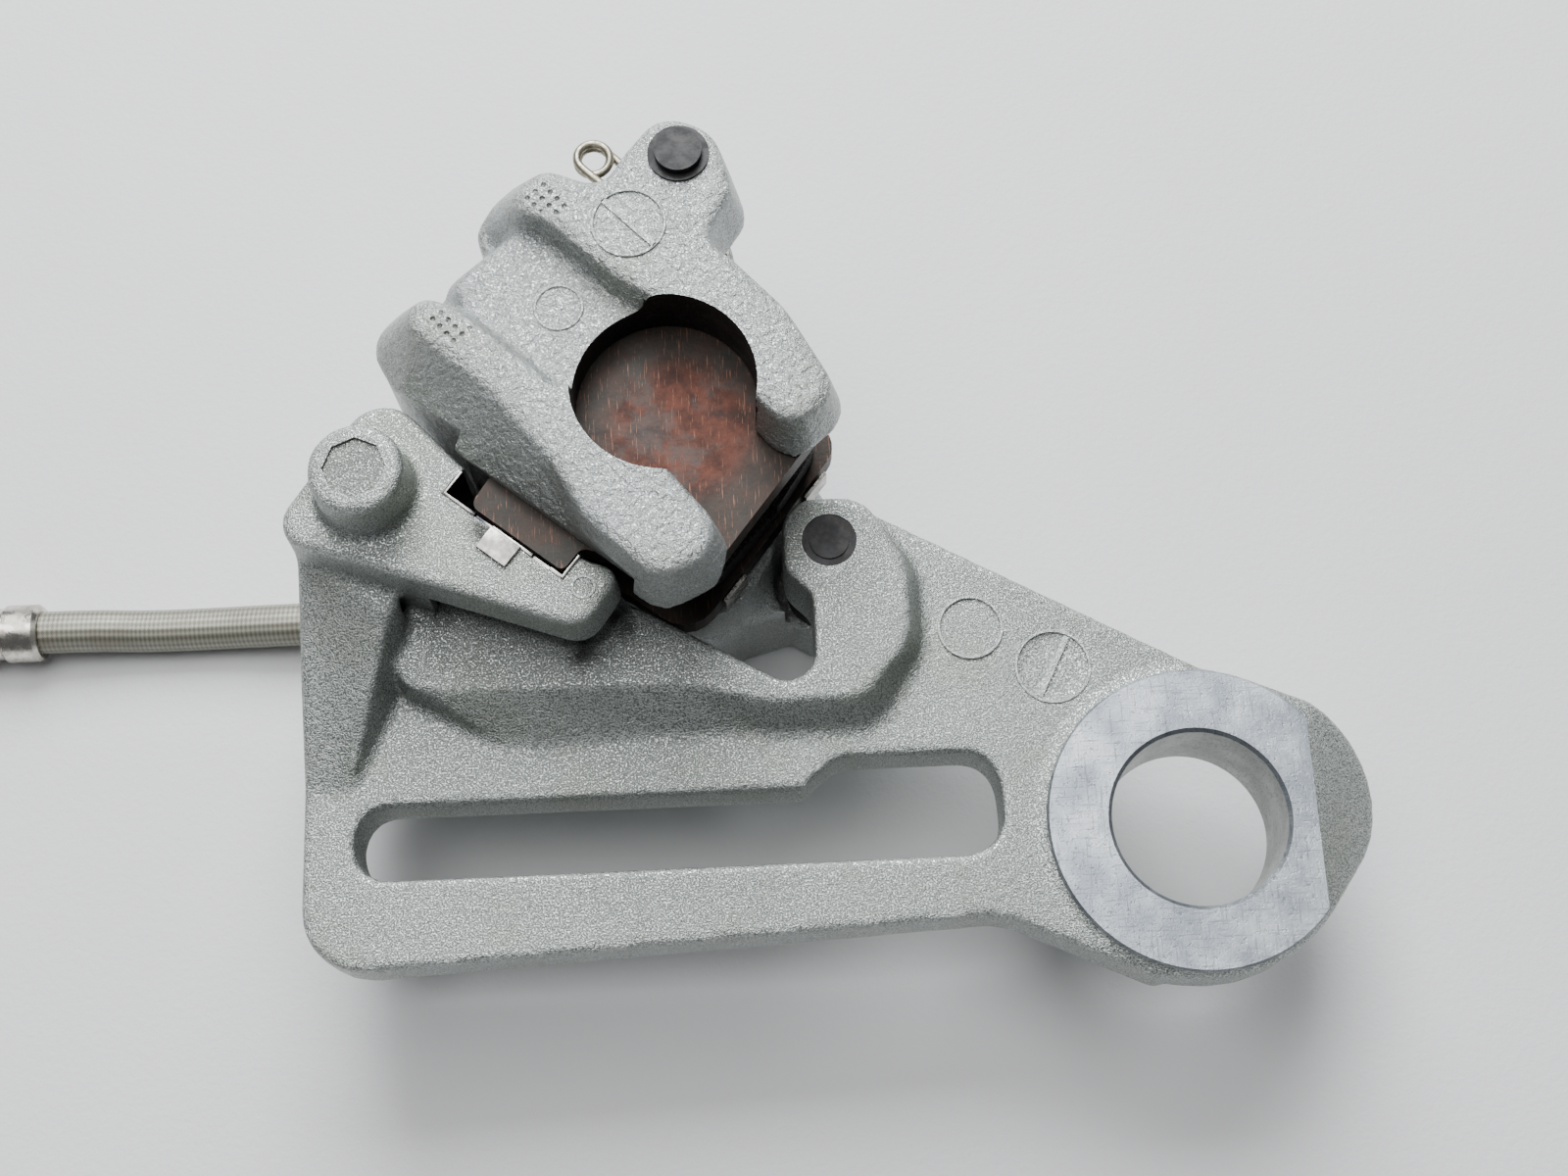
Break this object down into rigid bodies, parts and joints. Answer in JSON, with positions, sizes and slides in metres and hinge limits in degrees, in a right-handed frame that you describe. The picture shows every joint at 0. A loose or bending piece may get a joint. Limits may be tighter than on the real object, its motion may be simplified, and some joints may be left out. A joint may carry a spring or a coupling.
{
  "type": "brake caliper",
  "caption": "Rear floating single-piston disc-brake caliper on a slotted carrier bracket with an axle bore, with pads, guide pins, boots and a crimped braided hose end.",
  "frame": {"origin": "on the axis of the wheel-axle bore, at the plate's wheel-side face", "axes": "+Z along the axle bore towards the wheel, -X along the torque slot away from the axle, +Y towards the caliper"},
  "size_m": [0.2432, 0.1294, 0.0619],
  "materials": {
    "cast_aluminium": "bead-blasted cast, satin",
    "black_steel": "blackened steel, satin",
    "stainless": "spring sheet, semi-gloss",
    "black_rubber": "matte",
    "plated_steel": "nickel plated, semi-gloss",
    "coppered_steel": "heat-tinted copper brown",
    "friction_lining": "sintered, matte",
    "copper": "annealed copper",
    "hose_braid": "woven braid under a clear cover"
  },
  "bodies": {
    "carrier": {"carrier_bracket": "cast_aluminium", "carrier_guide_pin": "black_steel", "pad_abutment_clip": "stainless"},
    "caliper": {"caliper_body": "cast_aluminium", "caliper_guide_pin": "black_steel", "guide_boot_left": "black_rubber", "guide_boot_right": "black_rubber", "piston_seal": "black_rubber", "dust_seal": "black_rubber", "pad_pin": "black_steel", "pad_pin_clip": "stainless", "pad_spring": "stainless", "banjo_bolt": "plated_steel", "banjo_washers": "copper", "banjo_fitting": "plated_steel", "hose_ferrule_near": "plated_steel", "brake_hose": "hose_braid", "hose_ferrule_far": "plated_steel", "hose_end_eye": "plated_steel"},
    "piston": {"piston": "plated_steel"},
    "piston_pad": {"piston_pad_plate": "coppered_steel", "piston_pad_lining": "friction_lining", "piston_pad_shim": "stainless"},
    "wheel_pad": {"wheel_pad_plate": "coppered_steel", "wheel_pad_lining": "friction_lining"},
    "bleed_screw": {"bleed_screw": "plated_steel"},
    "bleed_cap": {"bleed_cap": "black_rubber"}
  },
  "joints": [
    {"name": "caliper_slide", "type": "slide", "parent": "carrier", "child": "caliper", "axis": [0, 0, 1], "range_m": [-0.004, 0.001], "deforming": ["guide_boot_left", "guide_boot_right"]},
    {"name": "piston_slide", "type": "slide", "parent": "caliper", "child": "piston", "axis": [0, 0, 1], "range_m": [0, 0.002]},
    {"name": "piston_pad_slide", "type": "slide", "parent": "caliper", "child": "piston_pad", "axis": [0, 0, 1], "range_m": [0, 0.002]},
    {"name": "wheel_pad_slide", "type": "slide", "parent": "caliper", "child": "wheel_pad", "axis": [0, 0, -1], "range_m": [0, 0.002]},
    {"name": "bleed_screw_turn", "type": "hinge", "parent": "caliper", "child": "bleed_screw", "pos_m": [-0.09608, 0.07823, -0.0229], "axis": [-0.6428, 0.766, 0], "range_deg": [0, 180]},
    {"name": "bleed_cap_pull", "type": "slide", "parent": "bleed_screw", "child": "bleed_cap", "axis": [-0.6428, 0.766, 0], "range_m": [0, 0.01]}
  ],
  "couplings": [
    {"joint": "piston_pad_slide", "follows": "piston_slide", "ratio": 1}
  ]
}
